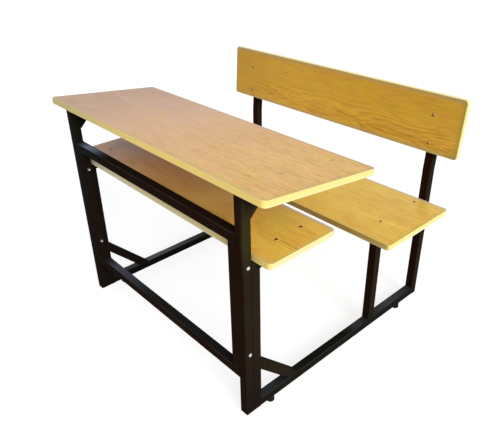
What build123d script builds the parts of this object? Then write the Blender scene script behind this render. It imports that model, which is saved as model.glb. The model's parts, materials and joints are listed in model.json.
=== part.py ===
from build123d import *
from math import cos, radians, sin, tan
import os

# School desk with a fixed bench. X runs along the desk, +Y from the desk to the bench, +Z up.
# The origin is on the floor, under the middle of the whole object.

# Square tube of the frames
tube_size = 30.0
tube_wall = 1.5
tube_corner = 3.0

# Side frames
frame_width = 900.0
frame_depth = 888.0
bench_post_inset = 76.0
back_leg_bend_height = 552.5
back_leg_bend_radius = 120.0
back_leg_lean = 4.0
brace_height = 192.0
brace_angle = 45.0
shelf_bearer_inset = 20.0
gusset_height = 39.0
gusset_angle = 45.0
gusset_plate = 2.5

# Front frame
upper_rail_drop = 169.5
lower_rail_height = 158.5

# Boards and their edge bands
board_thickness = 20.0
board_corner = 14.0
backrest_corner = 12.0
band_thickness = 2.0
band_round = 1.2

desktop_overhang = 88.0
desktop_depth = 418.0
desktop_slope = 7.1
desktop_front_height = 788.0
desktop_front_overhang = 7.0
desk_arm_inset = 28.0

shelf_overhang = 60.0
shelf_depth = 250.0
shelf_drop = 206.0
shelf_rail_gap = 8.0

seat_overhang = 94.0
seat_depth = 337.0
seat_height = 443.0
seat_leg_gap = 11.0

backrest_overhang = 92.0
backrest_height = 198.0
backrest_above_bend = 67.0
back_leg_top_drop = 16.0

# Dome-headed screws, placed by their distances from the board's front and rear edges,
# or from the lower and upper edges of the backrest
screw_radius = 2.75
screw_head_radius = 5.5
screw_head_height = 3.2
screw_bite = 12.0
screw_point = 5.0
screw_clearance = 0.25
screw_turns = (12.0, 57.0, 31.0, 76.0)
cross_length = 5.6
cross_width = 1.3
cross_depth = 1.8
pilot_clearance = 0.05
desktop_screw_insets = (160.0, 63.0)
shelf_screw_insets = (95.0, 60.0)
seat_screw_insets = (106.0, 37.0)
backrest_screw_insets = (32.0, 70.0)

# Hex bolts that join the front frame to the uprights
bolt_radius = 3.0
bolt_clearance = 0.3
bolt_across_flats = 10.0
bolt_head_height = 4.0
bolt_tail = 4.0
bolt_edge_break = 0.5
nut_height = 5.2
thread_clearance = 0.05
washer_radius = 6.0
washer_thickness = 1.6
upper_bolt_drop = 64.0
lower_bolt_rise = 70.0

# Feet under the runners
foot_height = 22.0
foot_top_radius = 13.0
foot_base_radius = 14.0
foot_round = 1.5
foot_end_distance = 110.0
foot_recess_radius = 7.5
foot_recess_depth = 6.0
foot_screw_bite = 8.0

# Plugs in the open tube ends
plug_flange = 3.0
plug_insert = 14.0
plug_clearance = 0.2
plug_round = 0.8

# Places worked out from the sizes above
tube_half = tube_size / 2
tube_bore = tube_size - 2 * tube_wall
bore_corner = tube_corner - tube_wall
tube_centre_x = frame_width / 2 - tube_half
slope = radians(desktop_slope)
lean = radians(back_leg_lean)
back_leg_upper = backrest_above_bend + backrest_height - back_leg_top_drop

front_reach = desktop_front_overhang + board_thickness * sin(slope)
rear_reach = back_leg_upper * sin(lean) + tube_half * (cos(lean) - 1)
frame_front = front_reach - (front_reach + frame_depth + rear_reach) / 2
frame_rear = frame_front + frame_depth
upright_y = frame_front + tube_half
upright_rear = frame_front + tube_size
post_y = upright_rear + tube_half
post_rear = upright_rear + tube_size
back_leg_front = frame_rear - tube_size
back_leg_y = frame_rear - tube_half

leg_bottom = foot_height + plug_flange
runner_top = foot_height + tube_size
shelf_height = desktop_front_height - shelf_drop
shelf_underside = shelf_height - board_thickness
shelf_front = upright_rear + shelf_rail_gap
shelf_bearer_end = shelf_front + shelf_depth - shelf_bearer_inset
seat_underside = seat_height - board_thickness
seat_front = back_leg_front - seat_leg_gap - seat_depth
bench_post_front = seat_front + bench_post_inset
seat_bearer_z = seat_underside - tube_half
shelf_bearer_z = shelf_underside - tube_half
desk_arm_reach = desktop_depth - desk_arm_inset
upper_rail_height = desktop_front_height - upper_rail_drop
lower_rail_top = lower_rail_height + tube_size
bolt_heights = (upper_rail_height - upper_bolt_drop, lower_rail_top + lower_bolt_rise)

desktop_screw_places = (desktop_screw_insets[0], desktop_depth - desktop_screw_insets[1])
shelf_screw_places = (shelf_screw_insets[0], shelf_depth - shelf_screw_insets[1])
seat_screw_places = (seat_screw_insets[0], seat_depth - seat_screw_insets[1])
backrest_screw_places = (backrest_screw_insets[0], backrest_height - backrest_screw_insets[1])

# The desktop's upper face, with its local Y down the slope from the front edge
desktop_top = Plane(
    origin=(0, frame_front - desktop_front_overhang, desktop_front_height),
    x_dir=(1, 0, 0),
    z_dir=(0, sin(slope), cos(slope)),
)
desktop_underside = desktop_top.offset(-board_thickness)
shelf_top = Plane(origin=(0, shelf_front, shelf_height))
seat_top = Plane(origin=(0, seat_front, seat_height))

# The leaning part of the back leg: local Y climbs along it, and local Z faces the sitter
back_leg_slant = Plane(
    origin=(0, back_leg_y, back_leg_bend_height),
    x_dir=(1, 0, 0),
    z_dir=(0, -cos(lean), sin(lean)),
)
backrest_face = Plane(
    origin=back_leg_slant.from_local_coords(
        (0, backrest_above_bend, tube_half + board_thickness)
    ),
    x_dir=(1, 0, 0),
    z_dir=back_leg_slant.z_dir,
)

sides = {"left": -1, "right": 1}


def save(piece, name):
    piece.part.label = name
    export_step(piece.part, f"parts/{name}.step")


# Planes for tubes that run up, back or across, with the section centred on the origin
def upward(x, y, z):
    return Plane(origin=(x, y, z), x_dir=(1, 0, 0), z_dir=(0, 0, 1))


def rearward(x, y, z):
    return Plane(origin=(x, y, z), x_dir=(1, 0, 0), z_dir=(0, 1, 0))


def across(x, y, z):
    return Plane(origin=(x, y, z), x_dir=(0, 1, 0), z_dir=(1, 0, 0))


def tube_section(plane):
    with BuildSketch(plane) as section:
        RectangleRounded(tube_size, tube_size, tube_corner)
        RectangleRounded(tube_bore, tube_bore, bore_corner, mode=Mode.SUBTRACT)
    return section.sketch


# Places of a board's four screws on its face, two over each side frame
def screw_planes(face, places):
    return [
        Plane(
            origin=face.from_local_coords((side * tube_centre_x, place, 0)),
            x_dir=(1, 0, 0),
            z_dir=face.z_dir,
        )
        for side in sides.values()
        for place in places
    ]


# The screws of one side, on the face of the tube that the board lies on
def pilot_planes(face, places, side):
    return [
        plane.offset(-board_thickness)
        for plane in screw_planes(face, places)
        if plane.origin.X * side > 0
    ]


# Bolt axes through upright and stile, pointing out of the outer face of the side frame
def bolt_planes(side):
    return [
        Plane(origin=(side * frame_width / 2, upright_y, z), x_dir=(0, 1, 0), z_dir=(side, 0, 0))
        for z in bolt_heights
    ]


foot_places = [
    (side * tube_centre_x, y)
    for side in sides.values()
    for y in (frame_front + foot_end_distance, frame_rear - foot_end_distance)
]


# A board's core, with screw holes, and the band round its edge
def make_board(name, face, overhang, depth, corner, places):
    length = frame_width + 2 * overhang
    core_length = length - 2 * band_thickness
    core_depth = depth - 2 * band_thickness
    core_corner = corner - band_thickness
    underside = face.offset(-board_thickness)
    middle = (0, depth / 2)

    with BuildPart() as core:
        with BuildSketch(underside):
            with Locations(middle):
                RectangleRounded(core_length, core_depth, core_corner)
        extrude(amount=board_thickness)
        with Locations(*screw_planes(face, places)):
            Hole(screw_radius + screw_clearance)
    save(core, f"{name}_board")

    with BuildPart() as band:
        with BuildSketch(underside):
            with Locations(middle):
                RectangleRounded(length, depth, corner)
        extrude(amount=board_thickness)
        faces = band.faces().filter_by(Axis(face.origin, face.z_dir))
        fillet(faces.edges(), radius=band_round)
        with BuildSketch(underside):
            with Locations(middle):
                RectangleRounded(core_length, core_depth, core_corner)
        extrude(amount=board_thickness, mode=Mode.SUBTRACT)
    save(band, f"{name}_edge_band")


# A dome-headed screw on the Z axis, with a cross recess: the head stands on the face, the shank
# goes down
def dome_screw(length, point):
    rise = screw_head_height
    dome_radius = (screw_head_radius**2 + rise**2) / (2 * rise)
    with BuildPart() as screw:
        with BuildSketch(Plane.XZ):
            with BuildLine():
                Polyline(
                    (0, rise),
                    (0, -length),
                    (screw_radius, point - length),
                    (screw_radius, 0),
                    (screw_head_radius, 0),
                )
                RadiusArc((screw_head_radius, 0), (0, rise), -dome_radius)
            make_face()
        revolve(axis=Axis.Z)
        with BuildSketch(Plane.XY.offset(rise)):
            Rectangle(cross_length, cross_width)
            Rectangle(cross_width, cross_length)
        extrude(amount=-cross_depth, mode=Mode.SUBTRACT)
    return screw.part


# Four screws, each turned by its own angle
def save_screws(name, planes, length, point):
    screw = dome_screw(length, point)
    turned = [plane.location * Rotation(0, 0, turn) for plane, turn in zip(planes, screw_turns)]
    with BuildPart() as screws:
        with Locations(*turned):
            add(screw)
    save(screws, name)


# A push-in plug on the Z axis: the flange covers the tube end, the insert goes down the bore
def save_plugs(name, y, z, outward):
    insert_size = tube_bore - 2 * plug_clearance
    planes = [
        Plane(origin=(side * tube_centre_x, y, z), x_dir=(1, 0, 0), z_dir=outward)
        for side in sides.values()
    ]
    with BuildPart() as plug:
        with BuildSketch(Plane.XY):
            RectangleRounded(tube_size, tube_size, tube_corner)
        extrude(amount=plug_flange)
        fillet(plug.faces().sort_by(Axis.Z)[-1].edges(), radius=plug_round)
        with BuildSketch(Plane.XY):
            RectangleRounded(insert_size, insert_size, bore_corner)
        extrude(amount=-plug_insert)
    with BuildPart() as plugs:
        with Locations(*planes):
            add(plug.part)
    save(plugs, name)


# Front upright, cut off under the slope of the desktop, with the bolt holes
def make_front_upright(name, side):
    start = upward(side * tube_centre_x, upright_y, leg_bottom)
    with BuildPart() as upright:
        extrude(tube_section(start), amount=desktop_front_height)
        split(bisect_by=desktop_underside, keep=Keep.BOTTOM)
        with Locations(*bolt_planes(side)):
            Hole(bolt_radius + bolt_clearance)
    save(upright, f"{name}_front_upright")


def make_rear_post(name, side):
    start = upward(side * tube_centre_x, post_y, leg_bottom)
    with BuildPart() as post:
        extrude(tube_section(start), amount=shelf_underside - leg_bottom)
    save(post, f"{name}_rear_post")


def make_floor_runner(name, side):
    start = rearward(side * tube_centre_x, post_rear, foot_height + tube_half)
    with BuildPart() as runner:
        extrude(tube_section(start), amount=back_leg_front - post_rear)
        with Locations(*[
            Plane(origin=(x, y, foot_height), x_dir=(1, 0, 0), z_dir=(0, 0, -1))
            for x, y in foot_places
            if x * side > 0
        ]):
            Hole(screw_radius + pilot_clearance, depth=tube_wall + tube_half)
    save(runner, f"{name}_floor_runner")


# The brace comes down from the rear post to the top of the runner
def make_foot_brace(name, side):
    angle = radians(brace_angle)
    start = Plane(
        origin=(side * tube_centre_x, post_rear, brace_height),
        x_dir=(1, 0, 0),
        z_dir=(0, cos(angle), -sin(angle)),
    )
    post_face = rearward(0, post_rear, 0)
    runner_face = upward(0, 0, runner_top)
    reach = brace_height / sin(angle) + tube_size
    with BuildPart() as brace:
        extrude(tube_section(start), amount=reach, both=True)
        split(bisect_by=post_face, keep=Keep.TOP)
        split(bisect_by=runner_face, keep=Keep.TOP)
    save(brace, f"{name}_foot_brace")


def make_bench_post(name, side):
    start = upward(side * tube_centre_x, bench_post_front + tube_half, runner_top)
    with BuildPart() as post:
        extrude(tube_section(start), amount=seat_underside - tube_size - runner_top)
    save(post, f"{name}_bench_post")


# One tube, bent once below the backrest
def make_back_leg(name, side):
    x = side * tube_centre_x
    lower_end = (x, back_leg_y, leg_bottom)
    bend = (x, back_leg_y, back_leg_bend_height)
    upper_end = back_leg_slant.from_local_coords((x, back_leg_upper - plug_flange, 0))
    screws = pilot_planes(backrest_face, backrest_screw_places, side)
    with BuildPart() as leg:
        with BuildLine() as centre_line:
            FilletPolyline(lower_end, bend, upper_end, radius=back_leg_bend_radius)
        sweep(tube_section(upward(*lower_end)), path=centre_line.line)
        with Locations(*screws):
            Hole(screw_radius + pilot_clearance, depth=tube_half)
    save(leg, f"{name}_back_leg")


def make_seat_bearer(name, side):
    start = rearward(side * tube_centre_x, bench_post_front + plug_flange, seat_bearer_z)
    with BuildPart() as bearer:
        extrude(tube_section(start), amount=back_leg_front - bench_post_front - plug_flange)
        with Locations(*pilot_planes(seat_top, seat_screw_places, side)):
            Hole(screw_radius + pilot_clearance, depth=tube_half)
    save(bearer, f"{name}_seat_bearer")


def make_shelf_bearer(name, side):
    start = rearward(side * tube_centre_x, post_rear, shelf_bearer_z)
    with BuildPart() as bearer:
        extrude(tube_section(start), amount=shelf_bearer_end - plug_flange - post_rear)
        with Locations(*pilot_planes(shelf_top, shelf_screw_places, side)):
            Hole(screw_radius + pilot_clearance, depth=tube_half)
    save(bearer, f"{name}_shelf_bearer")


# The arm under the desktop, cut upright where it meets the front upright
def make_desk_arm(name, side):
    start = Plane(
        origin=desktop_underside.from_local_coords((side * tube_centre_x, 0, -tube_half)),
        x_dir=(1, 0, 0),
        z_dir=desktop_underside.y_dir,
    )
    upright_face = rearward(0, upright_rear, 0)
    with BuildPart() as arm:
        extrude(tube_section(start), amount=desk_arm_reach - plug_flange)
        split(bisect_by=upright_face, keep=Keep.TOP)
        with Locations(*pilot_planes(desktop_top, desktop_screw_places, side)):
            Hole(screw_radius + pilot_clearance, depth=tube_half)
    save(arm, f"{name}_desk_arm")


# Folded gusset in the corner of upright and arm: a sloping plate with two cheeks
def make_desk_gusset(name, side):
    arm_plane = desktop_underside.offset(-tube_size)
    angle = radians(gusset_angle)
    corner_drop = (upright_rear - arm_plane.origin.Y) * tan(slope)
    corner_z = arm_plane.origin.Z - corner_drop
    low_z = corner_z - gusset_height
    length = gusset_height / (tan(angle) + tan(slope))
    far_z = low_z + length * tan(angle)
    fold_shift = gusset_plate / cos(angle)
    inner_length = (gusset_height - fold_shift) / (tan(angle) + tan(slope))
    inner_far_z = low_z + fold_shift + inner_length * tan(angle)
    side_plane = Plane(
        origin=(side * tube_centre_x, upright_rear, 0), x_dir=(0, 1, 0), z_dir=(1, 0, 0)
    )
    with BuildPart() as gusset:
        with BuildSketch(side_plane):
            with BuildLine():
                Polyline((0, low_z), (length, far_z), (0, corner_z), close=True)
            make_face()
        extrude(amount=tube_half, both=True)
        with BuildSketch(side_plane):
            with BuildLine():
                Polyline(
                    (0, low_z + fold_shift),
                    (inner_length, inner_far_z),
                    (0, corner_z),
                    close=True,
                )
            make_face()
        extrude(amount=tube_half - gusset_plate, both=True, mode=Mode.SUBTRACT)
    save(gusset, f"{name}_desk_gusset")


# Rails across the front, from upright to upright
def make_rail(name, height):
    length = frame_width - 2 * tube_size
    start = across(-length / 2, upright_y, height + tube_half)
    with BuildPart() as rail:
        extrude(tube_section(start), amount=length)
    save(rail, name)


# Stile beside the upright, between the rails, with the bolt holes
def make_stile(name, side):
    start = upward(side * (tube_centre_x - tube_size), upright_y, lower_rail_top)
    with BuildPart() as stile:
        extrude(tube_section(start), amount=upper_rail_height - lower_rail_top)
        with Locations(*[plane.offset(-tube_size) for plane in bolt_planes(side)]):
            Hole(bolt_radius + bolt_clearance)
    save(stile, f"{name}_stile")


# Hex bolts with their heads on the uprights, and a washer and a nut behind each stile
def make_frame_bolts():
    planes = [plane for side in sides.values() for plane in bolt_planes(side)]
    grip = 2 * tube_size
    shank = grip + washer_thickness + nut_height + bolt_tail

    with BuildPart() as bolt:
        with BuildSketch():
            RegularPolygon(bolt_across_flats / 2, 6, major_radius=False)
        extrude(amount=bolt_head_height)
        chamfer(bolt.faces().sort_by(Axis.Z)[-1].edges(), length=bolt_edge_break)
        with BuildSketch():
            Circle(bolt_radius)
        extrude(amount=-shank)
        chamfer(bolt.faces().sort_by(Axis.Z)[0].edges(), length=bolt_edge_break)
    with BuildPart() as bolts:
        with Locations(*planes):
            add(bolt.part)
    save(bolts, "frame_bolts")

    with BuildPart() as nut:
        with BuildSketch(Plane.XY.offset(-grip - washer_thickness)):
            RegularPolygon(bolt_across_flats / 2, 6, major_radius=False)
        extrude(amount=-nut_height)
        chamfer(nut.faces().sort_by(Axis.Z)[0].edges(), length=bolt_edge_break)
        with Locations((0, 0, -grip)):
            Hole(bolt_radius + thread_clearance)
    with BuildPart() as nuts:
        with Locations(*planes):
            add(nut.part)
    save(nuts, "frame_nuts")

    with BuildPart() as washer:
        with BuildSketch(Plane.XY.offset(-grip)):
            Circle(washer_radius)
            Circle(bolt_radius + bolt_clearance, mode=Mode.SUBTRACT)
        extrude(amount=-washer_thickness)
    with BuildPart() as washers:
        with Locations(*planes):
            add(washer.part)
    save(washers, "frame_washers")


# A foot under the runner, with a recess for its screw
def make_foot(name, x, y):
    with BuildPart() as foot:
        with BuildSketch(upward(x, y, 0)):
            Circle(foot_base_radius)
        with BuildSketch(upward(x, y, foot_height)):
            Circle(foot_top_radius)
        loft()
        fillet(foot.edges().group_by(Axis.Z)[0], radius=foot_round)
        with Locations(Plane(origin=(x, y, 0), x_dir=(1, 0, 0), z_dir=(0, 0, -1))):
            CounterBoreHole(
                radius=screw_radius + screw_clearance,
                counter_bore_radius=foot_recess_radius,
                counter_bore_depth=foot_recess_depth,
            )
    save(foot, name)


# Plugs in the tube ends of both side frames
def make_plugs():
    down = (0, 0, -1)
    forward = (0, -1, 0)
    back = (0, 1, 0)
    leg_end = back_leg_slant.from_local_coords((0, back_leg_upper - plug_flange, 0))
    arm_end = desktop_underside.from_local_coords((0, desk_arm_reach - plug_flange, -tube_half))
    save_plugs("upright_plugs", upright_y, leg_bottom, down)
    save_plugs("rear_post_plugs", post_y, leg_bottom, down)
    save_plugs("back_leg_foot_plugs", back_leg_y, leg_bottom, down)
    save_plugs("back_leg_top_plugs", leg_end.Y, leg_end.Z, back_leg_slant.y_dir)
    save_plugs("seat_bearer_plugs", bench_post_front + plug_flange, seat_bearer_z, forward)
    save_plugs("shelf_bearer_plugs", shelf_bearer_end - plug_flange, shelf_bearer_z, back)
    save_plugs("desk_arm_plugs", arm_end.Y, arm_end.Z, desktop_underside.y_dir)


def main():
    os.makedirs("parts", exist_ok=True)

    for name, face, overhang, depth, corner, places in (
        (
            "desktop",
            desktop_top,
            desktop_overhang,
            desktop_depth,
            board_corner,
            desktop_screw_places,
        ),
        ("shelf", shelf_top, shelf_overhang, shelf_depth, board_corner, shelf_screw_places),
        ("seat", seat_top, seat_overhang, seat_depth, board_corner, seat_screw_places),
        (
            "backrest",
            backrest_face,
            backrest_overhang,
            backrest_height,
            backrest_corner,
            backrest_screw_places,
        ),
    ):
        make_board(name, face, overhang, depth, corner, places)
        screw_length = board_thickness + screw_bite
        save_screws(f"{name}_screws", screw_planes(face, places), screw_length, screw_point)

    for name, side in sides.items():
        make_front_upright(name, side)
        make_rear_post(name, side)
        make_floor_runner(name, side)
        make_foot_brace(name, side)
        make_bench_post(name, side)
        make_back_leg(name, side)
        make_seat_bearer(name, side)
        make_shelf_bearer(name, side)
        make_desk_arm(name, side)
        make_desk_gusset(name, side)
        make_stile(name, side)

    make_rail("upper_rail", upper_rail_height)
    make_rail("lower_rail", lower_rail_height)
    make_frame_bolts()

    foot_names = ("front_left_foot", "rear_left_foot", "front_right_foot", "rear_right_foot")
    for foot_name, (x, y) in zip(foot_names, foot_places):
        make_foot(foot_name, x, y)
    foot_screw_length = foot_height - foot_recess_depth + tube_wall + foot_screw_bite
    recess_planes = [
        Plane(origin=(x, y, foot_recess_depth), x_dir=(1, 0, 0), z_dir=(0, 0, -1))
        for x, y in foot_places
    ]
    save_screws("foot_screws", recess_planes, foot_screw_length, screw_point)
    make_plugs()


main()
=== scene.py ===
# School desk with bench: finishes, welds, floor, light and camera. Lengths are in metres and angles in
# degrees, in the CAD frame.

import json
import math

import bmesh
import bpy
from mathutils import Matrix, Vector


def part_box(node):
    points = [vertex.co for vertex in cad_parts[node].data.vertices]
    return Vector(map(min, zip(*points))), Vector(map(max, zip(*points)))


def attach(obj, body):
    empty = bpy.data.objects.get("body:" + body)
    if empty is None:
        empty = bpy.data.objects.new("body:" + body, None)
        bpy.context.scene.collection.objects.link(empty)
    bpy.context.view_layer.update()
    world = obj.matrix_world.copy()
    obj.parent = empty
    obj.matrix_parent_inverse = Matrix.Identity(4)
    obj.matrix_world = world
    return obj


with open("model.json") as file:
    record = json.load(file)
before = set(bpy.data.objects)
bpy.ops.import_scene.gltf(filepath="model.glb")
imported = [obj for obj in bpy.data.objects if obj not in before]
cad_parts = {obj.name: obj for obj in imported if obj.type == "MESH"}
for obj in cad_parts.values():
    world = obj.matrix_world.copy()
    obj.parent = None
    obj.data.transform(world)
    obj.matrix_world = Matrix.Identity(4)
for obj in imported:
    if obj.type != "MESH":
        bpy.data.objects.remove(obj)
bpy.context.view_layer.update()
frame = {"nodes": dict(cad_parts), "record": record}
nodes = frame["nodes"]
scene = bpy.context.scene


# Camera, solved from the edges of the desk in the photograph
photo_width_px = 500
focal_length_px = 552.9
sensor_width_mm = 36.0
camera_place = (1.3208, -1.1969, 1.3641)
camera_azimuth = 48.30
camera_elevation = 29.78
camera_roll = -1.16

# Floor, world and lamp
floor_reach = 30
floor_tone = (0.32, 0.32, 0.32, 1)
floor_glow = 0.78
world_tone = (0.95, 0.98, 1.0, 1)
world_level = 0.55
backdrop_tone = (1, 1, 1, 1)
lamp_direction = (0.83, -0.28, 0.49)
lamp_distance = 3
lamp_spread = 30
lamp_level = 0.92

# Slope of the desktop, lean of the backrest and round corners of the boards, as in the CAD model
desktop_slope = 7.1
backrest_lean = 4.0
board_corners = {"desktop": 0.012, "shelf": 0.012, "seat": 0.012, "backrest": 0.010}

# Turns about X that lay each board flat, with its face up
board_turns = {"desktop": desktop_slope, "shelf": 0.0, "seat": 0.0, "backrest": backrest_lean - 90}

# Noises below are given as stretch along X, Y and Z, detail and roughness. Spreads are given as from
# where, to where, and the level at each
noise_middle = 0.5

# Growth rings: their spacing, the sway and the drift of the log's heart, and how each ring darkens
# and ends
ring_spacing = 0.0085
sway_noise = ((1.1, 3.2, 2.0), 2.0, 0.5)
drift_noise = ((1.6, 0.0, 0.0), 1.0, 0.5)
drift_middle = 0.32
ring_rise = (0.2, 0.85, 0.0, 1.0)
ring_fall = (0.85, 1.0, 1.0, 0.0)
ring_depth_noise = ((4, 34, 20), 2.0, 0.5)
ring_depth_spread = (0.36, 0.62, 0.25, 1.0)

# Fine grain, broad bands and blush patches of the laminate, and the tone that contrast turns about
grain_wiggle = 0.0035
wiggle_noise = ((13, 26, 26), 2.0, 0.5)
streak_noise = ((16, 150, 60), 2.0, 0.6)
streak_spread = (0.42, 0.7, 0.0, 1.0)
pore_noise = ((34, 430, 120), 2.0, 0.6)
pore_spread = (0.46, 0.72, 0.0, 1.0)
broad_noise = ((0.9, 15, 5), 2.0, 0.5)
broad_spread = (0.3, 0.72, 0.0, 1.0)
broad_share = 0.2
blush_noise = ((13, 26, 30), 2.0, 0.5)
blush_spread = (0.38, 0.64, 0.0, 1.0)
middle_tone = 0.36

# Tones towards the left end of a board, painted shade on all but the backrest, and painted sheen too
# on
# the desktop: how far their edge wanders, and the share of the dark grain that they leave out
left_tone_noise = ((5, 9, 5), 3.0, 0.5)
left_tone_wander = 0.2
grain_spared = 0.85

# Rim of another tone round a laminate: full as far in as rim_full, gone at rim_width, and rim_zone
# long at its ends
rim_full = 0.003
rim_width = 0.020
rim_zone = 0.03
smudge_noise = ((18, 18, 18), 3.0, 0.5)
smudge_spread = (0.3, 0.6, 0.65, 1.0)

# Roughness of the laminate
haze_noise = ((9, 9, 9), 4.0, 0.6)
haze_spread = (0.3, 0.7, 0.34, 0.44)
pore_roughness = 0.06

# Palettes of the laminates: pale, dark and blush
tan = ((0.86, 0.545, 0.150), (0.55, 0.315, 0.080), (0.87, 0.495, 0.190))
golden = ((0.90, 0.61, 0.115), (0.56, 0.30, 0.04), (0.87, 0.53, 0.10))
honey = ((1.0, 0.67, 0.100), (0.62, 0.33, 0.035), (1.0, 0.59, 0.10))
amber = ((0.80, 0.48, 0.040), (0.50, 0.24, 0.02), (0.82, 0.435, 0.055))

# Wood print of each board
# shift: where the board lies in the noises
# heart: the log's heart, its place across the board, how far it drifts, and how far the rings wander
# dive: the x left of which the heart dives, and the slope and length of its dive
# flames: points in the rings, each its place, its reach to the left, right and across, and its rings
# ring_share, grain_share: shares of the rings and of the fine grain in the tone
# contrast: spread of the grain's contrast across the board
# left_tones_and_shades: tones towards the left end, each its start, length, tone and share
# patches: each its place, its reach to the left, right and across, its tone and its share
# rims: rims of another tone, each its tone and its shares along the left, right, front and back sides
prints = {
    "desktop": {
        "palette": tan,
        "shift": (0.3, 0.9, 0.2),
        "heart": (1.2, 0.30, 0.09),
        "ring_share": 0.30,
        "grain_share": 0.46,
        # The desktop's tones towards the left end are painted shade and painted sheen
        "left_tones_and_shades": ((0.60, 0.75, (0.63, 0.365, 0.27), 1.0), (0.08, 0.5, (0.39, 0.235, 0.165), 1.0)),
        "rims": (((0.40, 0.34, 0.31), 0.7, 0.0, 0.0, 0.5), ((0.46, 0.34, 0.11), 0.0, 0.35, 0.4, 0.0)),
    },
    "shelf": {
        "palette": honey,
        "shift": (2.1, 0.4, 0.7),
        "heart": (-0.315, 0.03, 0.06),
        "dive": (0.445, 0.9, 0.12),
        "ring_share": 0.55,
        "grain_share": 0.30,
        # The shelf's tones towards the left end are painted shade, where the desktop shades it
        "left_tones_and_shades": ((0.5, 0.95, (0.86, 0.43, 0.30), 0.9), (-0.11, 0.27, (0.43, 0.305, 0.29), 0.95)),
        # A paler patch that lifts the painted shade in the shelf's middle, and a painted shadow beside
        # the right upright
        "patches": (
            ((0.13, -0.27), (0.09, 0.09, 0.12), (1.0, 0.72, 0.20), 0.8),
            ((0.36, -0.22), (0.06, 0.06, 0.10), (0.62, 0.45, 0.057), 0.6),
        ),
        "rims": (((0.54, 0.47, 0.38), 0.5, 0.0, 0.0, 0.65), ((0.73, 0.57, 0.16), 0.0, 0.4, 0.6, 0.0)),
    },
    "seat": {
        "palette": golden,
        "shift": (4.3, 1.3, 0.1),
        "heart": (1.75, 0.30, 0.09),
        "ring_share": 0.26,
        "grain_share": 0.34,
        # The seat's tone towards the left end is painted shade
        "left_tones_and_shades": ((0.62, 0.35, (0.68, 0.44, 0.045), 0.6),),
        "rims": (((0.54, 0.47, 0.38), 0.5, 0.0, 0.0, 0.65), ((0.50, 0.38, 0.08), 0.0, 0.35, 0.3, 0.0)),
    },
    "backrest": {
        "palette": amber,
        "shift": (6.2, 0.5, 0.4),
        "heart": (0.683, 0.03, 0.03),
        "flames": (
            ((-0.50, 0.683), (0.26, 0.09, 0.028), 3.0),
            ((-0.20, 0.687), (0.24, 0.10, 0.034), 3.8),
            ((0.08, 0.688), (0.22, 0.11, 0.036), 4.0),
            ((0.36, 0.682), (0.26, 0.10, 0.030), 3.0),
        ),
        "ring_share": 0.48,
        "grain_share": 0.36,
        "contrast": (0.70, 0.77, 1.1, 0.6),
        "left_tones_and_shades": ((-0.1, 0.3, (0.45, 0.20, 0.006), 0.45),),
        "rims": (
            ((0.42, 0.335, 0.165), 0.85, 0.0, 0.6, 0.75),
            ((0.34, 0.29, 0.06), 0.0, 0.55, 0.0, 0.0),
        ),
    },
}

# Edge bands: lines along them, clouds, front, left end, ragged border and reach of the painted glare,
# rim and roughness
line_noise = ((5, 5, 520), 3.0, 0.6)
line_spread = (0.4, 0.7, 0.0, 1.0)
line_share = 0.5
cloud_noise = ((7, 7, 7), 3.0, 0.5)
cloud_share = 0.25
front_spread = (0.5, 0.95, 0.0, 1.0)
left_end_length = 0.7
glare_edge_noise = ((60, 60, 160), 3.0, 0.6)
glare_edge_share = 0.5
glare_start = 0.45
glare_end = 1.05
rim_spread = (0.35, 0.8, 0.0, 0.85)
band_rough_spread = (0.3, 0.7, 0.3, 0.42)

# Tones and palettes of the edge bands: pale, dark and the near-white of the painted glare
butter = ((0.97, 0.79, 0.29), (0.86, 0.68, 0.20), (0.98, 0.92, 0.60))
cream = ((0.97, 0.79, 0.37), (0.87, 0.69, 0.29), (0.98, 0.89, 0.62))
gold_tone = (1.0, 0.71, 0.19)
# Painted shade on the seat's front, darker to the left
seat_front_shade_tone = (0.37, 0.20, 0.018)
# Tone of the left ends, a painted shade on the desktop
left_end_tone = (0.46, 0.37, 0.14)
pale_cream_tone = (0.95, 0.82, 0.66)
rim_tone = (0.50, 0.41, 0.15)

# Edge band of each board: palette, share of the painted glare, tone and share of the left end, and
# tone of the front with the spread of its share along X. The seat's front and the desktop's left end
# are painted shade
bands = {
    "desktop": (butter, 0.3, (left_end_tone, 0.8), (gold_tone, -0.5, 0.5, 0.85, 0.85)),
    "shelf": (cream, 0.75, (pale_cream_tone, 0.6), (gold_tone, 0.25, 0.45, 0.1, 0.8)),
    "seat": (butter, 0.8, (left_end_tone, 0.3), (seat_front_shade_tone, 0.3, 0.6, 1.0, 0.6)),
    "backrest": (butter, 0.9, (left_end_tone, 0.3), (gold_tone, -0.5, 0.5, 0.3, 0.3)),
}

# Black paint: tones of the faces, one of them a painted shade, of the tops with their dust and painted
# sheen, and of the painted highlights on the corners
paint_warm = (0.0165, 0.0040, 0.0014)
paint_cool = (0.0200, 0.0145, 0.0078)
# Painted shade, to the left in front
paint_shade = (0.0055, 0.0023, 0.0020)
paint_green = (0.0095, 0.0135, 0.0105)
paint_top = (0.0090, 0.0090, 0.0080)
paint_corner_highlight = (0.038, 0.036, 0.030)

# The paint takes the cool tone in clouds and, as a painted light, on faces that look to the side; it
# is deep, a painted shade, to the left in front
paint_cloud_noise = ((6, 6, 6), 3.0, 0.5)
side_spread = (0.4, 0.9, 0.0, 0.75)
paint_cloud_spread = (0.35, 0.65, 0.0, 0.25)
shade_left_spread = (-0.5, 0.3, 0.75, 0.0)
shade_front_spread = (-0.1, 0.4, 1.0, 0.3)

# Dust and painted sheen on faces that look up
upward_spread = (0.75, 1.0, 0.0, 1.0)
dust_and_sheen_noise = ((60, 60, 60), 4.0, 0.65)
dust_and_sheen_spread = (0.3, 0.7, 0.5, 1.0)
dust_and_sheen_share = 0.6

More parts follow.
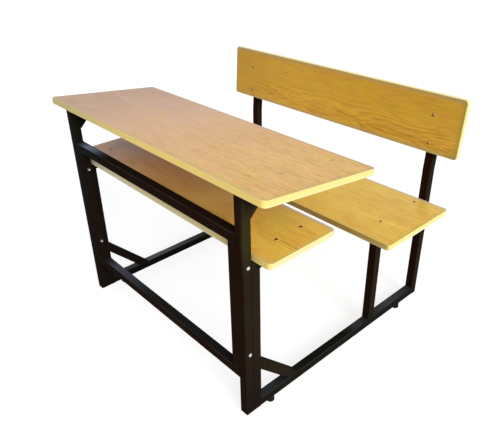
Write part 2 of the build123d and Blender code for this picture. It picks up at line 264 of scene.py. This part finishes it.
# Painted highlights on the corners, on the edges between a top and an outer face
outward_share = 0.5
top_share = 0.7
corner_spread = (0.74, 0.84, 0.0, 1.0)
below_top_spread = (0.95, 0.8, 0.0, 1.0)
highlight_cloud_spread = (0.4, 0.6, 0.35, 0.9)

orange_peel_noise = ((420, 420, 420), 2.0, 0.5)

# Patches of another tone: on the left upright, the left end of the upper rail, both runners, the foot
# of the right upright, its outer side below the desktop, and the gusset beside it. The one on the left
# runner is a painted shade, and the one on the gusset a painted light in the desktop's shade. Each has
# its place, its reach to the left, to the right, in depth and in height, and its tone
paint_tone_and_light_patches = (
    ((-0.45, -0.46, 0.65), (0.035, 0.035, 0.09, 0.3), paint_green),
    ((-0.37, -0.448, 0.635), (0.04, 0.07, 0.02, 0.03), (0.0085, 0.0125, 0.0115)),
    ((-0.42, -0.05, 0.03), (0.05, 0.05, 0.45, 0.03), (0.0030, 0.0040, 0.0030)),
    ((0.435, 0.0, 0.037), (0.05, 0.05, 0.9, 0.04), (0.0077, 0.0085, 0.0060)),
    ((0.45, -0.42, 0.05), (0.05, 0.05, 0.06, 0.14), (0.011, 0.0065, 0.0045)),
    ((0.45, -0.435, 0.64), (0.008, 0.008, 0.025, 0.08), (0.033, 0.029, 0.009)),
    ((0.45, -0.375, 0.70), (0.03, 0.03, 0.045, 0.05), (0.049, 0.029, 0.0125)),
)

# Painted sheen on top of the upper rail, the lower rail and both runners: place, reach and tone
sheen_patches = (
    ((-0.355, -0.434, 0.6485), (0.035, 0.067, 0.05, 0.05), (0.155, 0.19, 0.25)),
    ((-0.28, -0.434, 0.1885), (0.05, 0.18, 0.05, 0.05), (0.056, 0.062, 0.086)),
    ((0.2, -0.434, 0.1885), (0.3, 0.25, 0.05, 0.05), (0.0115, 0.0120, 0.0130)),
    ((-0.435, -0.15, 0.052), (0.05, 0.05, 0.2, 0.03), (0.10, 0.106, 0.12)),
    ((0.435, -0.35, 0.052), (0.05, 0.05, 0.07, 0.03), (0.026, 0.030, 0.031)),
    ((0.435, 0.09, 0.052), (0.05, 0.05, 0.035, 0.03), (0.034, 0.036, 0.041)),
    ((0.435, 0.28, 0.052), (0.05, 0.05, 0.12, 0.03), (0.045, 0.050, 0.056)),
)

# Plated metal: spots, clouds that make it smoother or rougher, and where a screw is tarnished
metal_spot_noise = ((900, 900, 900), 3.0, 0.6)
metal_spot_spread = (0.35, 0.75, 0.0, 1.0)
metal_cloud_noise = ((160, 160, 160), 2.0, 0.5)
metal_cloud_range = (0.3, 0.7)
smoother = 0.06
rougher = 0.08
tarnish_spread = (-0.2, 0.2, 1.0, 0.0)

# Palettes of the metals: pale and dark
zinc_palette = ((0.82, 0.82, 0.84), (0.62, 0.62, 0.65))
# The nuts and washers: the zinc darkened as a painted shade
shaded_zinc_palette = ((0.19, 0.13, 0.13), (0.10, 0.07, 0.07))
bronze_palette = ((0.42, 0.24, 0.11), (0.16, 0.08, 0.03))
tan_screw_palette = ((0.60, 0.42, 0.26), (0.42, 0.28, 0.17))
tarnish_tone = (0.32, 0.17, 0.13)

# Black plastic of the feet and plugs
plastic_palette = ((0.006, 0.0055, 0.005), (0.012, 0.011, 0.010))
plastic_grain_noise = ((1400, 1400, 1400), 2.0, 0.5)
plastic_cloud_noise = ((70, 70, 70), 3.0, 0.5)
plastic_rough_spread = (0.3, 0.7, 0.4, 0.55)

# Weld beads. Each tapers at its ends, ripples along its run, and swells more slowly by its place
bead_radius = 0.0021
bead_flat_share = 0.42
bead_pitch = 0.0026
bead_ripple_share = 0.13
bead_swell_run = 37
bead_swell_shift = 900
bead_taper = 0.003
bead_blunt_end = bead_taper / 8
bead_step = 0.00065
bead_fewest_steps = 8
bead_sides = 10
corner_clearance = 0.003

# Stitch welds between the upright and the post behind it, by their place along the post
stitch_length = 0.028
stitch_shares = (0.06, 0.36, 0.66, 0.94)


# Materials

# A material with a Principled shader, and short calls that add and join its nodes
class Finish:
    def __init__(self, name, **values):
        self.material = bpy.data.materials.new(name)
        self.material.use_nodes = True
        self.tree = self.material.node_tree
        self.shader = self.tree.nodes["Principled BSDF"]
        for socket, value in values.items():
            self.shader.inputs[socket.replace("_", " ")].default_value = value

    def add(self, kind, **settings):
        node = self.tree.nodes.new(kind)
        for name, value in settings.items():
            setattr(node, name, value)
        return node

    def join(self, source, target):
        self.tree.links.new(source, target)

    def math(self, operation, *values, clamp=False):
        node = self.add("ShaderNodeMath", operation=operation, use_clamp=clamp)
        for socket, value in zip(node.inputs, values):
            if isinstance(value, (int, float)):
                socket.default_value = value
            else:
                self.join(value, socket)
        return node.outputs[0]

    def plus(self, first, second, clamp=False):
        return self.math("ADD", first, second, clamp=clamp)

    def minus(self, first, second):
        return self.math("SUBTRACT", first, second)

    def times(self, first, second):
        return self.math("MULTIPLY", first, second)

    def over(self, first, second):
        return self.math("DIVIDE", first, second)

    def larger(self, first, second):
        return self.math("MAXIMUM", first, second)

    def smaller(self, first, second):
        return self.math("MINIMUM", first, second)

    def split(self, vector):
        node = self.add("ShaderNodeSeparateXYZ")
        self.join(vector, node.inputs[0])
        return node.outputs

    def combine(self, x, y, z):
        node = self.add("ShaderNodeCombineXYZ")
        for socket, value in zip(node.inputs, (x, y, z)):
            self.join(value, socket)
        return node.outputs[0]

    # A vector turned about X, so that a tilted board lies flat
    def lay(self, vector, turn, kind="POINT"):
        node = self.add("ShaderNodeMapping", vector_type=kind)
        node.inputs["Rotation"].default_value = (math.radians(turn), 0, 0)
        self.join(vector, node.inputs["Vector"])
        return node.outputs["Vector"]

    def place(self, turn=0.0):
        return self.lay(self.add("ShaderNodeTexCoord").outputs["Object"], turn)

    def normal(self):
        return self.add("ShaderNodeNewGeometry").outputs["Normal"]

    def noise(self, vector, values, shift=(0, 0, 0)):
        stretch, detail, roughness = values
        mapping = self.add("ShaderNodeMapping")
        mapping.inputs["Scale"].default_value = stretch
        mapping.inputs["Location"].default_value = shift
        self.join(vector, mapping.inputs["Vector"])
        node = self.add("ShaderNodeTexNoise")
        node.inputs["Scale"].default_value = 1.0
        node.inputs["Detail"].default_value = detail
        node.inputs["Roughness"].default_value = roughness
        self.join(mapping.outputs["Vector"], node.inputs["Vector"])
        return node.outputs["Fac"]

    def spread(self, value, low, high, to_low, to_high):
        node = self.add("ShaderNodeMapRange", interpolation_type="SMOOTHSTEP")
        node.inputs["From Min"].default_value = low
        node.inputs["From Max"].default_value = high
        node.inputs["To Min"].default_value = to_low
        node.inputs["To Max"].default_value = to_high
        self.join(value, node.inputs["Value"])
        return node.outputs["Result"]

    def blend(self, factor, first, second):
        node = self.add("ShaderNodeMix", data_type="RGBA")
        self.join(factor, node.inputs["Factor"])
        for socket, value in ((node.inputs["A"], first), (node.inputs["B"], second)):
            if isinstance(value, tuple):
                socket.default_value = (*value, 1.0)
            else:
                self.join(value, socket)
        return node.outputs["Result"]

    # Distance inward from the outline of a flat board with round corners
    def inward(self, parts, low, high, corner):
        beyond = []
        for axis in (0, 1):
            middle = (low[axis] + high[axis]) / 2
            half = (high[axis] - low[axis]) / 2 - corner
            offset = self.math("ABSOLUTE", self.minus(parts[axis], middle))
            beyond.append(self.minus(offset, half))
        outside = [self.larger(value, 0.0) for value in beyond]
        squares = [self.times(value, value) for value in outside]
        length = self.math("SQRT", self.plus(*squares))
        inside = self.smaller(self.larger(*beyond), 0.0)
        return self.minus(corner, self.plus(length, inside))

    # A smooth flame of height 1 from a place: its reach is to the left, to the right, and then along
    # each further axis of the place
    def flame(self, parts, place, reach):
        left, right, *across = reach
        offset = self.minus(parts[0], place[0])
        along = self.larger(self.over(offset, right), self.over(offset, -left))
        total = self.times(along, along)
        for part, middle, width in zip(parts[1:], place[1:], across):
            side = self.over(self.minus(part, middle), width)
            total = self.plus(total, self.times(side, side))
        return self.math("EXPONENT", self.times(total, -1.0))

    def colour(self, value):
        self.join(value, self.shader.inputs["Base Color"])

    def roughness(self, value):
        self.join(value, self.shader.inputs["Roughness"])

    def bump(self, height, strength, distance):
        node = self.add("ShaderNodeBump")
        node.inputs["Strength"].default_value = strength
        node.inputs["Distance"].default_value = distance
        self.join(height, node.inputs["Height"])
        self.join(node.outputs["Normal"], self.shader.inputs["Normal"])
        return node.outputs["Normal"]


# Lowest and highest corner of a node, in the coordinates in which its board lies flat
def flat_box(node, turn):
    matrix = Matrix.Rotation(math.radians(turn), 3, "X")
    points = [matrix @ vertex.co for vertex in nodes[node].data.vertices]
    low = [min(point[axis] for point in points) for axis in range(3)]
    high = [max(point[axis] for point in points) for axis in range(3)]
    return low, high


# Laminate

# Growth rings of a log that is cut nearly along its length. Where its heart dives they close in
# arches, and each flame draws them out to a point
def ring_lines(finish, grain, values):
    parts = finish.split(grain)
    heart_place, heart_drift, wander_reach = values["heart"]
    sway = finish.noise(grain, sway_noise, values["shift"])
    wander = finish.times(finish.minus(sway, noise_middle), wander_reach)
    across = finish.plus(finish.minus(parts[1], heart_place), wander)
    drift = finish.noise(grain, drift_noise, values["shift"])
    depth = finish.math("ABSOLUTE", finish.times(finish.minus(drift, drift_middle), heart_drift))
    if "dive" in values:
        start, slope, length = values["dive"]
        beyond = finish.larger(finish.minus(start, parts[0]), 0.0)
        depth = finish.plus(depth, finish.times(finish.smaller(beyond, length), slope))
    squares = finish.plus(finish.times(across, across), finish.times(depth, depth))
    field = finish.math("SQRT", squares)
    for place, reach, rings in values.get("flames", ()):
        lift = finish.times(finish.flame(parts, place, reach), rings * ring_spacing)
        field = finish.plus(field, lift)
    phase = finish.math("FRACT", finish.over(field, ring_spacing))
    return finish.times(finish.spread(phase, *ring_rise), finish.spread(phase, *ring_fall))


# Tone of the print, from 0 for pale to 1 for dark, with the streaks and the pores in it
def wood_tone(finish, grain, across, values):
    shift = values["shift"]
    depth = finish.spread(finish.noise(grain, ring_depth_noise, shift), *ring_depth_spread)
    rings = finish.times(ring_lines(finish, grain, values), depth)
    streaks = finish.spread(finish.noise(grain, streak_noise, shift), *streak_spread)
    pores = finish.spread(finish.noise(grain, pore_noise, shift), *pore_spread)
    broad = finish.spread(finish.noise(grain, broad_noise, shift), *broad_spread)
    tone = finish.times(rings, values["ring_share"])
    grain_share = values["grain_share"]
    for layer, share in ((streaks, grain_share), (pores, grain_share), (broad, broad_share)):
        tone = finish.plus(tone, finish.times(layer, share), clamp=True)
    if "contrast" in values:
        contrast = finish.spread(across, *values["contrast"])
        tone = finish.times(finish.minus(tone, middle_tone), contrast)
        tone = finish.plus(tone, middle_tone, clamp=True)
    return tone, streaks, pores


# The colour with its tones towards the left end, painted shade on all but the backrest and painted
# sheen too on the desktop, which spare the dark grain, and then its patches, on the shelf a lift of
# the painted shade and a painted shadow
def left_tones_shades_and_patches(finish, colour, flat, parts, tone, values):
    edge = finish.noise(flat, left_tone_noise, values["shift"])
    place = finish.plus(parts[0], finish.times(edge, left_tone_wander))
    spared = finish.minus(1.0, finish.times(tone, grain_spared))
    # Tones towards the left end: painted shade on all but the backrest
    for start, length, end_tone, share in values["left_tones_and_shades"]:
        level = finish.times(finish.spread(place, start - length, start, share, 0.0), spared)
        colour = finish.blend(level, colour, end_tone)
    # Patches: on the shelf, a lift of the painted shade and a painted shadow
    for middle, reach, patch_tone, share in values.get("patches", ()):
        level = finish.times(finish.flame(parts, middle, reach), share)
        colour = finish.blend(level, colour, patch_tone)
    return colour


# A line along the rim of a board, with its share along each side: left, right, front and back
def rim_line(finish, inward, parts, low, high, shares):
    left, right, front, back = shares
    zones = (
        finish.spread(parts[0], low[0], low[0] + rim_zone, left, 0.0),
        finish.spread(parts[0], high[0] - rim_zone, high[0], 0.0, right),
        finish.spread(parts[1], low[1], low[1] + rim_zone, front, 0.0),
        finish.spread(parts[1], high[1] - rim_zone, high[1], 0.0, back),
    )
    share = finish.larger(finish.larger(*zones[:2]), finish.larger(*zones[2:]))
    return finish.times(finish.spread(inward, rim_full, rim_width, 1.0, 0.0), share)


# The colour with its rims of another tone, smudged
def toned_rims(finish, colour, board, flat, parts, values):
    low, high = flat_box(f"{board}_board", board_turns[board])
    inward = finish.inward(parts, low, high, board_corners[board])
    smudge = finish.spread(finish.noise(flat, smudge_noise, values["shift"]), *smudge_spread)
    for rim, *shares in values["rims"]:
        line = rim_line(finish, inward, parts, low, high, shares)
        colour = finish.blend(finish.times(line, smudge), colour, rim)
    return colour


# Wood-print laminate: rings, grain, blush patches, tones and painted shade towards the left end, and a
# rim of another tone round the face
def laminate(board):
    values = prints[board]
    shift = values["shift"]
    finish = Finish(f"{board}_laminate", Roughness=0.4, Specular_IOR_Level=0.25)
    flat = finish.place(board_turns[board])
    parts = finish.split(flat)
    wiggle = finish.minus(finish.noise(flat, wiggle_noise, shift), noise_middle)
    sideways = finish.plus(parts[1], finish.times(wiggle, grain_wiggle))
    grain = finish.combine(parts[0], sideways, parts[2])
    tone, streaks, pores = wood_tone(finish, grain, parts[1], values)

    pale, dark, blush = values["palette"]
    blushed = finish.spread(finish.noise(flat, blush_noise, shift), *blush_spread)
    colour = finish.blend(tone, finish.blend(blushed, pale, blush), dark)
    colour = left_tones_shades_and_patches(finish, colour, flat, parts, tone, values)
    finish.colour(toned_rims(finish, colour, board, flat, parts, values))

    haze = finish.spread(finish.noise(flat, haze_noise, shift), *haze_spread)
    finish.roughness(finish.plus(haze, finish.times(pores, pore_roughness)))
    finish.bump(finish.plus(pores, streaks), strength=0.2, distance=0.00008)
    return finish.material


# Edge bands

# Painted glare on a band, more of it towards the underside, with a ragged border
def band_glare(finish, flat, height, low, high, share):
    glare_edge = finish.minus(finish.noise(flat, glare_edge_noise), noise_middle)
    drop = finish.over(finish.minus(high, height), high - low)
    drop = finish.plus(drop, finish.times(glare_edge, glare_edge_share))
    return finish.spread(drop, glare_start, glare_end, 0.0, share)


# Plastic edge band: faint lines along it, a front in another tone whose share changes along X, a left
# end in another tone, a painted glare that pales it towards the underside, and a darker rim. The
# seat's front and the desktop's left end get painted shade
def edge_band(board):
    palette, glare_share, left_end, front = bands[board]
    turn = board_turns[board]
    low, high = flat_box(f"{board}_edge_band", turn)
    finish = Finish(f"{board}_band", Roughness=0.36, Specular_IOR_Level=0.3)
    flat = finish.place(turn)
    parts = finish.split(flat)
    normal = finish.split(finish.lay(finish.normal(), turn, "NORMAL"))
    lines = finish.noise(flat, line_noise)
    cloud = finish.noise(flat, cloud_noise)
    pale, dark, highlight = palette
    tone = finish.times(finish.spread(lines, *line_spread), line_share)
    tone = finish.plus(tone, finish.times(cloud, cloud_share), clamp=True)
    colour = finish.blend(tone, pale, dark)

    front_tone, *along = front
    # A front in another tone; on the seat a painted shade, darker to the left
    forward = finish.spread(finish.times(normal[1], -1.0), *front_spread)
    front_toned = finish.times(forward, finish.spread(parts[0], *along))
    colour = finish.blend(front_toned, colour, front_tone)
    # A left end in another tone, a painted shade on the desktop
    left_tone, left_share = left_end
    left_toned = finish.spread(parts[0], low[0], low[0] + left_end_length, left_share, 0.0)
    colour = finish.blend(left_toned, colour, left_tone)
    # Painted glare that pales the band towards the underside, except where the front is toned
    glare = band_glare(finish, flat, parts[2], low[2], high[2], glare_share)
    colour = finish.blend(finish.times(glare, finish.minus(1.0, front_toned)), colour, highlight)
    rim = finish.spread(finish.math("ABSOLUTE", normal[2]), *rim_spread)
    finish.colour(finish.blend(rim, colour, rim_tone))

    finish.roughness(finish.spread(cloud, *band_rough_spread))
    finish.bump(lines, strength=0.2, distance=0.00006)
    return finish.material


# Paint, metal and plastic

# Body tone of the paint, with the cool tone as a painted light on the sides and a painted shade to the
# left in front, before dust, painted sheen and painted highlights
def paint_body(finish, parts, normal, cloud):
    # Faces that look to the side take the cool tone: a painted light on the sides
    sideways = finish.spread(finish.math("ABSOLUTE", normal[0]), *side_spread)
    cool = finish.plus(sideways, finish.spread(cloud, *paint_cloud_spread))
    body = finish.blend(cool, paint_warm, paint_cool)
    leftward = finish.spread(parts[0], *shade_left_spread)
    forward = finish.spread(parts[1], *shade_front_spread)
    # A painted shade to the left in front
    body = finish.blend(finish.times(leftward, forward), body, paint_shade)
    # Patches of another tone; on the left runner a painted shade, on the gusset a painted light
    for place, reach, tone in paint_tone_and_light_patches:
        body = finish.blend(finish.flame(parts, place, reach), body, tone)
    return body


# The paint with dust and painted sheen on what faces up, thin everywhere, and painted sheen in patches
def dust_and_sheen(finish, body, flat, parts, normal):
    upward = finish.spread(normal[2], *upward_spread)
    spots = finish.spread(finish.noise(flat, dust_and_sheen_noise), *dust_and_sheen_spread)
    # Thin dust and painted sheen on what faces up
    thin = finish.times(finish.times(upward, spots), dust_and_sheen_share)
    body = finish.blend(thin, body, paint_top)
    # Painted sheen in patches on the tops of the rails and runners
    for place, reach, tone in sheen_patches:
        sheen = finish.flame(parts, place, reach)
        body = finish.blend(finish.times(upward, sheen), body, tone)
    return body


# Painted highlights on the corners between a top and an outer face, in clouds
def corner_highlights(finish, normal, cloud):
    outward = finish.times(finish.minus(normal[0], normal[1]), outward_share)
    corner = finish.plus(outward, finish.times(normal[2], top_share))
    below_top = finish.spread(normal[2], *below_top_spread)
    highlight = finish.times(finish.spread(corner, *corner_spread), below_top)
    return finish.times(highlight, finish.spread(cloud, *highlight_cloud_spread))


# Gloss black paint on steel tube, with orange peel in its coat
def black_paint():
    finish = Finish(
        "gloss_black_paint",
        Roughness=0.5,
        Specular_IOR_Level=0.0,
        Coat_Weight=0.03,
        Coat_Roughness=0.16,
    )
    flat = finish.place()
    parts = finish.split(flat)
    normal = finish.split(finish.normal())
    cloud = finish.noise(flat, paint_cloud_noise)
    body = paint_body(finish, parts, normal, cloud)
    body = dust_and_sheen(finish, body, flat, parts, normal)
    # Painted highlights on the corners
    finish.colour(finish.blend(corner_highlights(finish, normal, cloud), body, paint_corner_highlight))
    peel = finish.bump(finish.noise(flat, orange_peel_noise), strength=0.22, distance=0.00012)
    finish.join(peel, finish.shader.inputs["Coat Normal"])
    return finish.material


# Plated metal, tarnished to a matt tone towards the left where one is given
def plated_metal(name, palette, rough, tarnish=None):
    finish = Finish(name, Metallic=1.0, Roughness=rough)
    flat = finish.place()
    spots = finish.noise(flat, metal_spot_noise)
    cloud = finish.noise(flat, metal_cloud_noise)
    pale, dark = palette
    colour = finish.blend(finish.spread(spots, *metal_spot_spread), pale, dark)
    if tarnish:
        dulled = finish.spread(finish.split(flat)[0], *tarnish_spread)
        colour = finish.blend(dulled, colour, tarnish)
        finish.join(finish.minus(1.0, dulled), finish.shader.inputs["Metallic"])
    finish.colour(colour)
    finish.roughness(finish.spread(cloud, *metal_cloud_range, rough - smoother, rough + rougher))
    finish.bump(spots, strength=0.2, distance=0.00005)
    return finish.material


def moulded_plastic():
    finish = Finish("black_plastic", Roughness=0.45, Specular_IOR_Level=0.05)
    flat = finish.place()
    grain = finish.noise(flat, plastic_grain_noise)
    cloud = finish.noise(flat, plastic_cloud_noise)
    finish.colour(finish.blend(cloud, *plastic_palette))
    finish.roughness(finish.spread(cloud, *plastic_rough_spread))
    finish.bump(grain, strength=0.3, distance=0.00006)
    return finish.material


def dress(node, material):
    slots = nodes[node].data.materials
    slots.clear()
    slots.append(material)


for board in prints:
    dress(f"{board}_board", laminate(board))
for board in bands:
    dress(f"{board}_edge_band", edge_band(board))

paint = black_paint()
zinc = plated_metal("zinc_plate", zinc_palette, 0.28)
shaded_zinc = plated_metal("shaded_zinc", shaded_zinc_palette, 0.5)
bronze = plated_metal("bronzed_screw", bronze_palette, 0.34)
aged_bronze = plated_metal("aged_screw", bronze_palette, 0.34, tarnish_tone)
tan_screw = plated_metal("tan_screw", tan_screw_palette, 0.45)
plastic = moulded_plastic()
finishes = {
    "black_frame": paint,
    "zinc_hardware": zinc,
    "board_screws": bronze,
    "foot_plastic": plastic,
    "plug_plastic": plastic,
}
for entry in frame["record"]["subparts"]:
    if entry["material_slot"] in finishes:
        dress(entry["node"], finishes[entry["material_slot"]])
dress("desktop_screws", tan_screw)
dress("shelf_screws", aged_bronze)
# The nuts and washers take the zinc darkened as a painted shade
dress("frame_nuts", shaded_zinc)
dress("frame_washers", shaded_zinc)


# Welds

# Radius of a bead, at some travel along its length
def bead_radius_at(travel, length, start):
    edge = min(travel, length - travel)
    taper = math.sqrt(min(1.0, (edge + bead_blunt_end) / bead_taper))
    ripple = 1 + bead_ripple_share * math.sin(2 * math.pi * travel / bead_pitch)
    swell_angle = bead_swell_run * travel / length + bead_swell_shift * start.y
    swell = 1 + bead_ripple_share * math.sin(swell_angle)
    return bead_radius * taper * ripple * swell


# A rippled bead from start to end. Its section is low along flat_axis, where one is given
def add_bead(mesh, start, end, flat_axis=None):
    start = Vector(start)
    end = Vector(end)
    run = (end - start).normalized()
    length = (end - start).length
    side = Vector(flat_axis or run.orthogonal()).normalized()
    other = run.cross(side)
    low = bead_flat_share if flat_axis else 1.0
    steps = max(bead_fewest_steps, round(length / bead_step))
    rings = []
    for i in range(steps + 1):
        travel = length * i / steps
        radius = bead_radius_at(travel, length, start)
        centre = start + run * travel
        ring = []
        for k in range(bead_sides):
            angle = 2 * math.pi * k / bead_sides
            offset = side * (radius * low * math.cos(angle)) + other * (radius * math.sin(angle))
            ring.append(mesh.verts.new(centre + offset))
        rings.append(ring)
    for near, far in zip(rings, rings[1:]):
        for k in range(bead_sides):
            after = (k + 1) % bead_sides
            mesh.faces.new((near[k], near[after], far[after], far[k]))
    mesh.faces.new(list(reversed(rings[0])))
    mesh.faces.new(rings[-1])


# Beads round the end of a tube, on a joint that lies in the plane y = place
def weld_across_y(mesh, low, high, place, top=True, bottom=True):
    left = low.x
    right = high.x
    inset = corner_clearance
    if top:
        add_bead(mesh, (left + inset, place, high.z), (right - inset, place, high.z))
    if bottom:
        add_bead(mesh, (left + inset, place, low.z), (right - inset, place, low.z))
    for x in (left, right):
        add_bead(mesh, (x, place, low.z + inset), (x, place, high.z - inset), (1, 0, 0))


# The same, on a joint that lies in the plane z = place
def weld_across_z(mesh, low, high, place, front=True, rear=True):
    left = low.x
    right = high.x
    inset = corner_clearance
    if front:
        add_bead(mesh, (left + inset, low.y, place), (right - inset, low.y, place))
    if rear:
        add_bead(mesh, (left + inset, high.y, place), (right - inset, high.y, place))
    for x in (left, right):
        add_bead(mesh, (x, low.y + inset, place), (x, high.y - inset, place), (1, 0, 0))


def finish_welds(mesh, name):
    data = bpy.data.meshes.new(name)
    bmesh.ops.recalc_face_normals(mesh, faces=mesh.faces)
    mesh.to_mesh(data)
    mesh.free()
    data.shade_smooth()
    data.materials.append(paint)
    piece = bpy.data.objects.new(name, data)
    scene.collection.objects.link(piece)
    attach(piece, "root")


# The brace's slanted ends meet the post and the runner over a longer line
def weld_brace(mesh, side):
    low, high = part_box(f"{side}_foot_brace")
    cut_length = (high.x - low.x) * math.sqrt(2)
    upper_low = Vector((low.x, low.y, high.z - cut_length))
    upper_high = Vector((high.x, low.y, high.z))
    weld_across_y(mesh, upper_low, upper_high, low.y)
    foot_low = Vector((low.x, high.y - cut_length, low.z))
    foot_high = Vector((high.x, high.y, low.z))
    weld_across_z(mesh, foot_low, foot_high, low.z)


# Arm and gusset in the corner behind the upright
def weld_gusset(mesh, side, tube):
    low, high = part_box(f"{side}_desk_gusset")
    inset = corner_clearance
    weld_across_y(mesh, low, high, low.y, top=False)
    far_z = high.z - (high.y - low.y) * math.tan(math.radians(desktop_slope))
    arm_top = high.z + tube
    add_bead(mesh, (low.x + inset, high.y, far_z), (high.x - inset, high.y, far_z))
    for x in (low.x, high.x):
        add_bead(mesh, (x, low.y, high.z), (x, high.y - inset, far_z), (1, 0, 0))
        add_bead(mesh, (x, low.y, high.z), (x, low.y, arm_top - inset), (1, 0, 0))


# Stitches between the upright and the post behind it
def weld_stitches(mesh, side):
    low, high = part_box(f"{side}_rear_post")
    for share in stitch_shares:
        z = low.z + share * (high.z - low.z - stitch_length)
        for x in (low.x, high.x):
            add_bead(mesh, (x, low.y, z), (x, low.y, z + stitch_length), (1, 0, 0))


def weld_side_frame(side):
    mesh = bmesh.new()
    runner_low, runner_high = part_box(f"{side}_floor_runner")
    weld_across_y(mesh, runner_low, runner_high, runner_low.y)
    weld_across_y(mesh, runner_low, runner_high, runner_high.y)

    post_low, post_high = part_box(f"{side}_bench_post")
    weld_across_z(mesh, post_low, post_high, post_low.z)
    weld_across_z(mesh, post_low, post_high, post_high.z, front=False)

    bearer_low, bearer_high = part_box(f"{side}_seat_bearer")
    weld_across_y(mesh, bearer_low, bearer_high, bearer_high.y)

    shelf_low, shelf_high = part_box(f"{side}_shelf_bearer")
    weld_across_y(mesh, shelf_low, shelf_high, shelf_low.y, top=False)

    weld_brace(mesh, side)
    weld_gusset(mesh, side, runner_high.x - runner_low.x)
    weld_stitches(mesh, side)
    finish_welds(mesh, f"{side}_frame_welds")


# The stiles end at the rails: beads in front, behind and in the inner corner
def weld_front_frame():
    mesh = bmesh.new()
    inset = corner_clearance
    for side in ("left", "right"):
        low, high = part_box(f"{side}_stile")
        inner_x = high.x if side == "left" else low.x
        for z in (low.z, high.z):
            add_bead(mesh, (inner_x, low.y + inset, z), (inner_x, high.y - inset, z))
            for y in (low.y, high.y):
                add_bead(mesh, (low.x + inset, y, z), (high.x - inset, y, z), (0, 1, 0))
    finish_welds(mesh, "front_frame_welds")


weld_side_frame("left")
weld_side_frame("right")
weld_front_frame()


# Floor, world, lamp and camera

# 1 for a ray from the camera, or for one that a glossy or clear surface sends on
def seen_ray(tree):
    path = tree.nodes.new("ShaderNodeLightPath")
    value = path.outputs["Is Camera Ray"]
    for name in ("Is Glossy Ray", "Is Transmission Ray"):
        larger = tree.nodes.new("ShaderNodeMath")
        larger.operation = "MAXIMUM"
        tree.links.new(value, larger.inputs[0])
        tree.links.new(path.outputs[name], larger.inputs[1])
        value = larger.outputs[0]
    return value


# One shader for the rays that light the scene, and another for those that are seen
def mix_seen(tree, unseen, seen, output):
    mix = tree.nodes.new("ShaderNodeMixShader")
    tree.links.new(seen_ray(tree), mix.inputs[0])
    tree.links.new(unseen.outputs[0], mix.inputs[1])
    tree.links.new(seen.outputs[0], mix.inputs[2])
    tree.links.new(mix.outputs[0], output.inputs["Surface"])


# Plain pale floor, which glows a little where it is seen
def make_floor():
    corners = [
        (-floor_reach, -floor_reach, 0),
        (floor_reach, -floor_reach, 0),
        (floor_reach, floor_reach, 0),
        (-floor_reach, floor_reach, 0),
    ]
    data = bpy.data.meshes.new("floor")
    data.from_pydata(corners, [], [(0, 1, 2, 3)])
    floor = bpy.data.objects.new("floor", data)
    scene.collection.objects.link(floor)

    material = bpy.data.materials.new("pale_floor")
    material.use_nodes = True
    tree = material.node_tree
    tree.nodes.clear()
    output = tree.nodes.new("ShaderNodeOutputMaterial")
    diffuse = tree.nodes.new("ShaderNodeBsdfDiffuse")
    diffuse.inputs["Color"].default_value = floor_tone
    glow = tree.nodes.new("ShaderNodeEmission")
    glow.inputs["Strength"].default_value = floor_glow
    total = tree.nodes.new("ShaderNodeAddShader")
    tree.links.new(diffuse.outputs[0], total.inputs[0])
    tree.links.new(glow.outputs[0], total.inputs[1])
    mix_seen(tree, diffuse, total, output)
    data.materials.append(material)


# Soft light from all sides, and a white backdrop
def make_world():
    world = bpy.data.worlds.new("studio")
    scene.world = world
    world.use_nodes = True
    tree = world.node_tree
    tree.nodes.clear()
    output = tree.nodes.new("ShaderNodeOutputWorld")
    soft = tree.nodes.new("ShaderNodeBackground")
    soft.inputs["Color"].default_value = world_tone
    soft.inputs["Strength"].default_value = world_level
    backdrop = tree.nodes.new("ShaderNodeBackground")
    backdrop.inputs["Color"].default_value = backdrop_tone
    backdrop.inputs["Strength"].default_value = 1.0
    mix_seen(tree, soft, backdrop, output)


# A soft key lamp from the right, a little in front
def make_key_lamp():
    direction = Vector(lamp_direction).normalized()
    data = bpy.data.lights.new("key", "SUN")
    data.angle = math.radians(lamp_spread)
    data.energy = lamp_level * math.pi
    lamp = bpy.data.objects.new("key", data)
    lamp.location = direction * lamp_distance
    lamp.rotation_euler = direction.to_track_quat("Z", "Y").to_euler()
    scene.collection.objects.link(lamp)


def make_camera():
    azimuth = math.radians(camera_azimuth)
    elevation = math.radians(camera_elevation)
    roll = math.radians(camera_roll)
    back = Vector(
        (
            math.sin(azimuth) * math.cos(elevation),
            -math.cos(azimuth) * math.cos(elevation),
            math.sin(elevation),
        )
    )
    level_right = Vector((math.cos(azimuth), math.sin(azimuth), 0))
    level_up = back.cross(level_right)
    right = level_right * math.cos(roll) + level_up * math.sin(roll)
    up = back.cross(right)
    data = bpy.data.cameras.new("camera")
    data.sensor_fit = "HORIZONTAL"
    data.sensor_width = sensor_width_mm
    data.lens = focal_length_px / photo_width_px * sensor_width_mm
    camera = bpy.data.objects.new("camera", data)
    turn = Matrix((right, up, back)).transposed().to_4x4()
    camera.matrix_world = Matrix.Translation(camera_place) @ turn
    scene.collection.objects.link(camera)
    scene.camera = camera


make_floor()
make_world()
make_key_lamp()
make_camera()
scene.view_settings.view_transform = "Standard"
